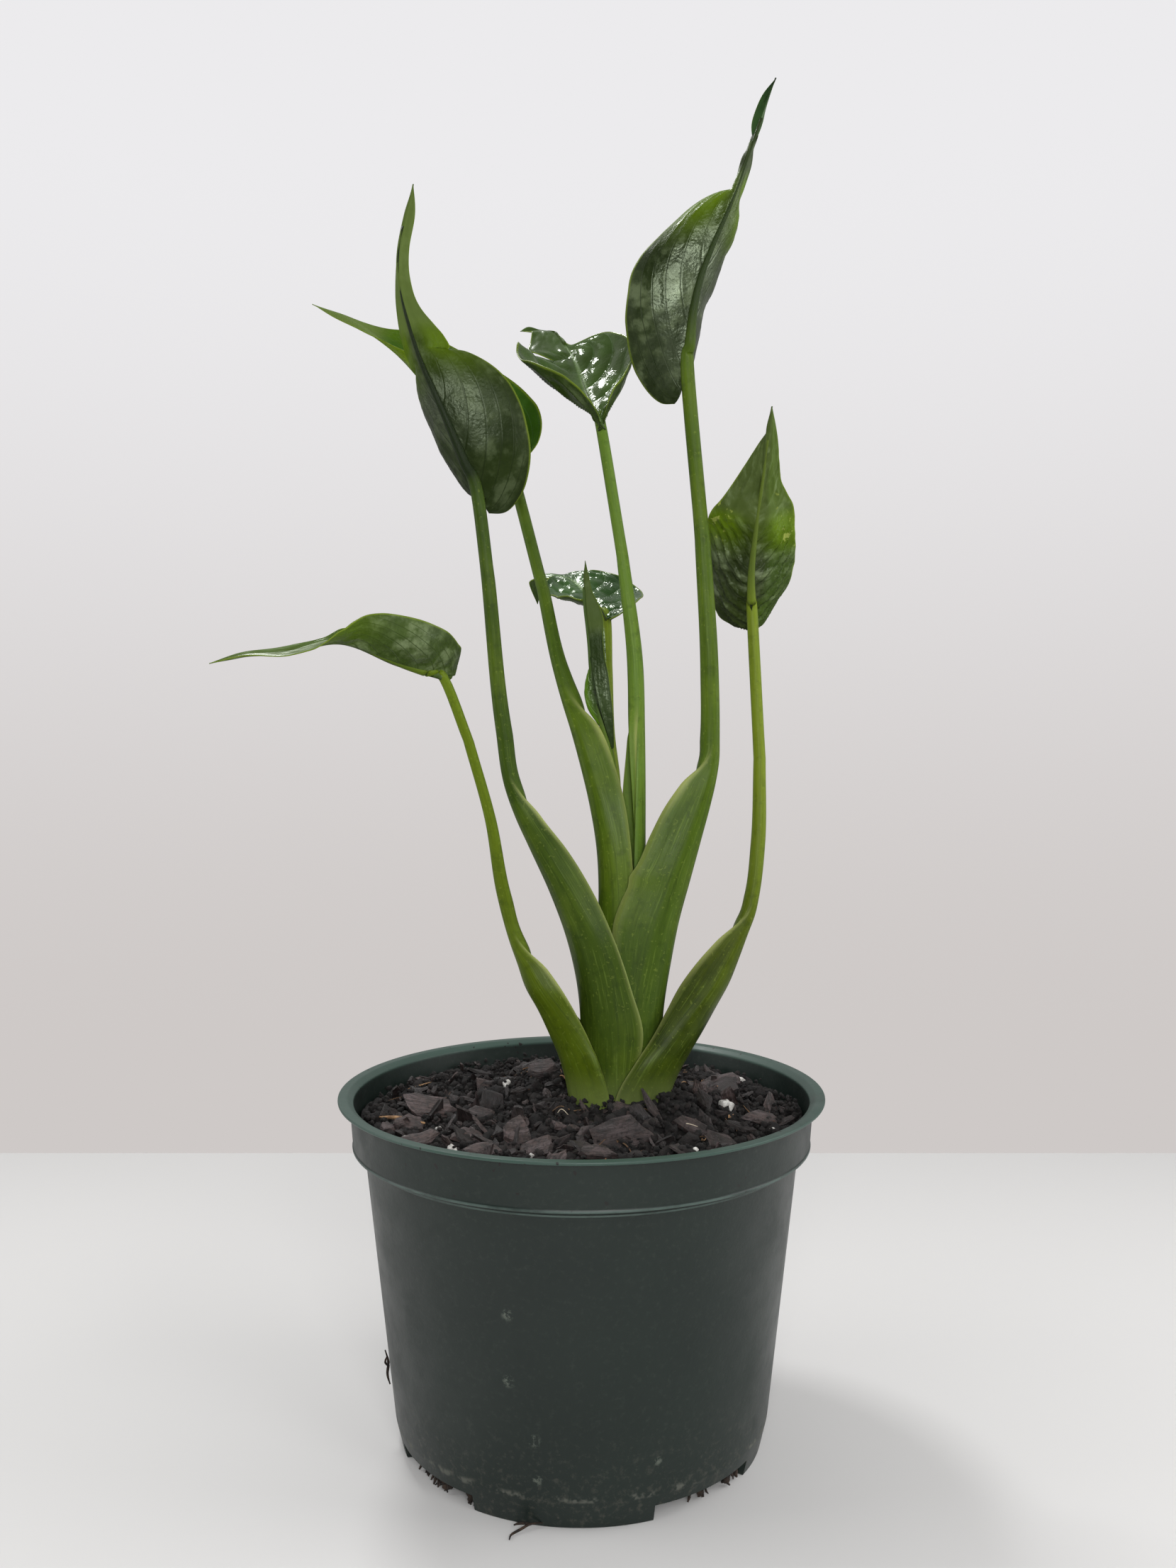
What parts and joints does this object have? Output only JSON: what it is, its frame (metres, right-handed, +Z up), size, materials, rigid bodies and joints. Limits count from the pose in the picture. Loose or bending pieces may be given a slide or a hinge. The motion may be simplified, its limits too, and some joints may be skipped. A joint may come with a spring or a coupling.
{
  "type": "potted alocasia plant",
  "caption": "Small aroid houseplant: upright cupped leaves with drawn-out drip tips on long sheathed stalks, growing in bark mix in a round plastic nursery pot.",
  "frame": {"origin": "middle of the pot's foot, on the surface that it stands on", "axes": "+Z up along the pot's axis; -Y is the side that faces the viewer, and +X is to the viewer's right"},
  "size_m": [0.1945, 0.165, 0.4549],
  "materials": {
    "pot": "satin",
    "potting_mix": "matte",
    "corm": "matte",
    "petiole_a": "satin",
    "petiole_b": "satin",
    "petiole_c": "satin",
    "petiole_d": "satin",
    "petiole_e": "satin",
    "petiole_f": "satin",
    "petiole_g": "satin",
    "petiole_h": "satin",
    "blade_a": "gloss",
    "blade_b": "gloss",
    "blade_c": "gloss",
    "blade_d": "gloss",
    "blade_e": "gloss",
    "blade_f": "gloss",
    "blade_g": "gloss",
    "blade_h": "gloss"
  },
  "bodies": {
    "root": {"pot": "pot", "potting_mix": "potting_mix", "corm": "corm", "petiole_a": "petiole_a", "petiole_b": "petiole_b", "petiole_c": "petiole_c", "petiole_d": "petiole_d", "petiole_e": "petiole_e", "petiole_f": "petiole_f", "petiole_g": "petiole_g", "petiole_h": "petiole_h", "blade_a": "blade_a", "blade_b": "blade_b", "blade_c": "blade_c", "blade_d": "blade_d", "blade_e": "blade_e", "blade_f": "blade_f", "blade_g": "blade_g", "blade_h": "blade_h"}
  },
  "joints": []
}
